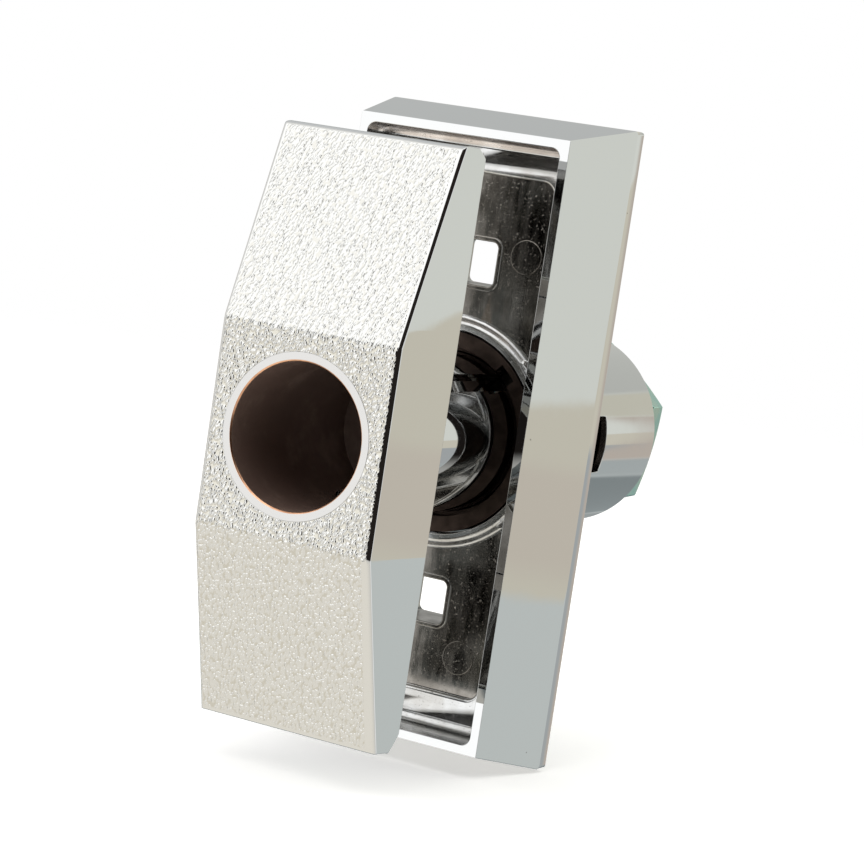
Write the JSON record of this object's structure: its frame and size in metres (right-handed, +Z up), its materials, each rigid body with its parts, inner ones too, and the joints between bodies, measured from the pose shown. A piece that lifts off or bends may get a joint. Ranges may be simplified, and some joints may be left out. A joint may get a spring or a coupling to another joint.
{
  "type": "pop-out t-handle door lock",
  "caption": "Chromed T-handle lock shown popped out of its long pocket, with a round barrel behind it and an empty bore for a lock cylinder in its face.",
  "frame": {"origin": "on the turning axis, in the plane of the pocket's back face, which lies on the front of the door", "axes": "+Y back through the door along the barrel, -Y out towards the user, +Z up along the handle, +X to the right seen from the user"},
  "size_m": [0.0388, 0.103, 0.09],
  "materials": {
    "die_cast_chrome": "satin chrome plate on a zinc casting, faint brushing lines inside",
    "textured_chrome": "bright chrome plate over a fine cast pebble texture in front, smooth on the sides",
    "spindle_chrome": "bright chrome plate, smooth",
    "barrel_chrome": "chrome plate, turned",
    "sintered_sleeve": "oiled, brown, dull",
    "teal_zinc": "zinc plate with a blue-green passivation",
    "bright_zinc": "bright zinc plate",
    "dark_steel": "plain hardened steel",
    "spring_steel": "bare drawn wire",
    "bronze": "sintered bronze, oiled",
    "nylon": "natural"
  },
  "bodies": {
    "housing": {"pocket": "die_cast_chrome", "barrel": "barrel_chrome", "upper_pin": "dark_steel", "lower_pin": "dark_steel", "front_bush": "bronze", "rear_bush": "bronze"},
    "drive": {"drive_sleeve": "sintered_sleeve", "drive_key": "dark_steel", "front_thrust_ring": "nylon", "rear_thrust_washer": "bright_zinc", "hex_nut": "teal_zinc", "stud": "bright_zinc", "lock_washer": "bright_zinc", "jam_nut": "bright_zinc", "spring_seat": "bright_zinc", "spring": "spring_steel"},
    "t_handle": {"handle": "textured_chrome", "spindle": "spindle_chrome", "upper_screw": "bright_zinc", "lower_screw": "bright_zinc"}
  },
  "joints": [
    {"name": "handle_turn", "type": "hinge", "parent": "housing", "child": "drive", "pos_m": [0, 0, 0], "axis": [0, 1, 0], "range_deg": [-540, 540]},
    {"name": "handle_push", "type": "slide", "parent": "drive", "child": "t_handle", "axis": [0, 1, 0], "range_m": [0, 0.026], "stiffness_N_per_m": 400, "springref_m": -0.01, "deforming": ["spring"]}
  ]
}
